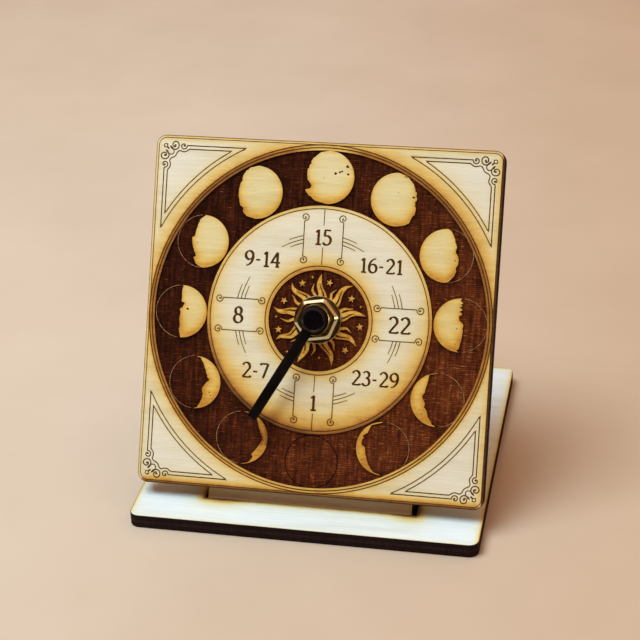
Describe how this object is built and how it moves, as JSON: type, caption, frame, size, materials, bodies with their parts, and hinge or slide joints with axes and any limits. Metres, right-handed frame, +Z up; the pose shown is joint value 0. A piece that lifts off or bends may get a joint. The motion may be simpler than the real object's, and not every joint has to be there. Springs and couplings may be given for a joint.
{
  "type": "moon phase desk clock",
  "caption": "Square plywood moon phase dial leaning back on a plywood base, with one black hand, a brass fixing nut and a battery movement behind.",
  "frame": {"origin": "centre of the base's underside", "axes": "+Z up, the dial faces -Y and leans back towards +Y, +X to the dial's right seen from the front"},
  "size_m": [0.1, 0.1, 0.0979],
  "materials": {
    "plywood": "laser-cut birch plywood, scorched edges",
    "dial_plywood": "laser-cut and engraved birch plywood",
    "brass": "polished yellow brass",
    "rubber": "matt black",
    "case_plastic": "moulded black",
    "white_plastic": "moulded white",
    "gear_plastic": "moulded natural acetal",
    "black_metal": "satin black paint",
    "steel": "bright steel",
    "magnet": "dark sintered magnet",
    "copper_wire": "enamelled copper wire",
    "board": "green solder mask",
    "chip": "black resin",
    "contact_metal": "nickel-plated spring steel",
    "battery_sleeve": "plain printed sleeve on a steel can"
  },
  "bodies": {
    "stand": {"base_plate": "plywood", "face_plate": "dial_plywood", "backing_plate": "plywood", "brass_washer": "brass", "hex_nut": "brass", "threaded_bush": "brass", "rubber_washer": "rubber", "movement_case": "case_plastic", "back_cover": "case_plastic", "train_bridge": "white_plastic", "stator": "steel", "coil_bobbin": "white_plastic", "coil_winding": "copper_wire", "circuit_board": "board", "control_chip": "chip", "quartz_crystal": "steel", "positive_contact": "contact_metal", "negative_contact": "contact_metal"},
    "moon_hand_set": {"moon_arbor": "brass", "moon_wheel": "gear_plastic", "hand_hub": "black_metal", "moon_hand": "black_metal", "hub_cap": "black_metal"},
    "second_wheel_set": {"second_wheel": "gear_plastic", "second_arbor": "steel"},
    "first_wheel_set": {"first_wheel": "gear_plastic", "first_arbor": "steel"},
    "rotor": {"rotor_magnet": "magnet", "rotor_pinion": "gear_plastic"},
    "setting_knob_set": {"setting_knob": "case_plastic", "setting_pinion": "gear_plastic"},
    "battery": {"battery": "battery_sleeve"}
  },
  "joints": [
    {"name": "moon_hand_turn", "type": "hinge", "parent": "stand", "child": "moon_hand_set", "pos_m": [0, -0.01679, 0.05311], "axis": [0, 0.8949, -0.4462], "continuous": true},
    {"name": "setting_knob_turn", "type": "hinge", "parent": "stand", "child": "setting_knob_set", "pos_m": [-0.01193, -0.01735, 0.05198], "axis": [0, 0.8949, -0.4462], "continuous": true},
    {"name": "second_wheel_turn", "type": "hinge", "parent": "stand", "child": "second_wheel_set", "pos_m": [0.00935, -0.01438, 0.05794], "axis": [0, 0.8949, -0.4462], "continuous": true},
    {"name": "first_wheel_turn", "type": "hinge", "parent": "stand", "child": "first_wheel_set", "pos_m": [0.00779, -0.01043, 0.06587], "axis": [0, 0.8949, -0.4462], "continuous": true},
    {"name": "rotor_turn", "type": "hinge", "parent": "stand", "child": "rotor", "pos_m": [0.00055, -0.00956, 0.06761], "axis": [0, 0.8949, -0.4462], "continuous": true},
    {"name": "battery_out", "type": "slide", "parent": "stand", "child": "battery", "axis": [0, 0.8949, -0.4462], "range_m": [0, 0.018]}
  ],
  "couplings": [
    {"joint": "setting_knob_turn", "follows": "moon_hand_turn", "ratio": -3},
    {"joint": "second_wheel_turn", "follows": "moon_hand_turn", "ratio": -5},
    {"joint": "first_wheel_turn", "follows": "moon_hand_turn", "ratio": 25},
    {"joint": "rotor_turn", "follows": "moon_hand_turn", "ratio": -125}
  ]
}
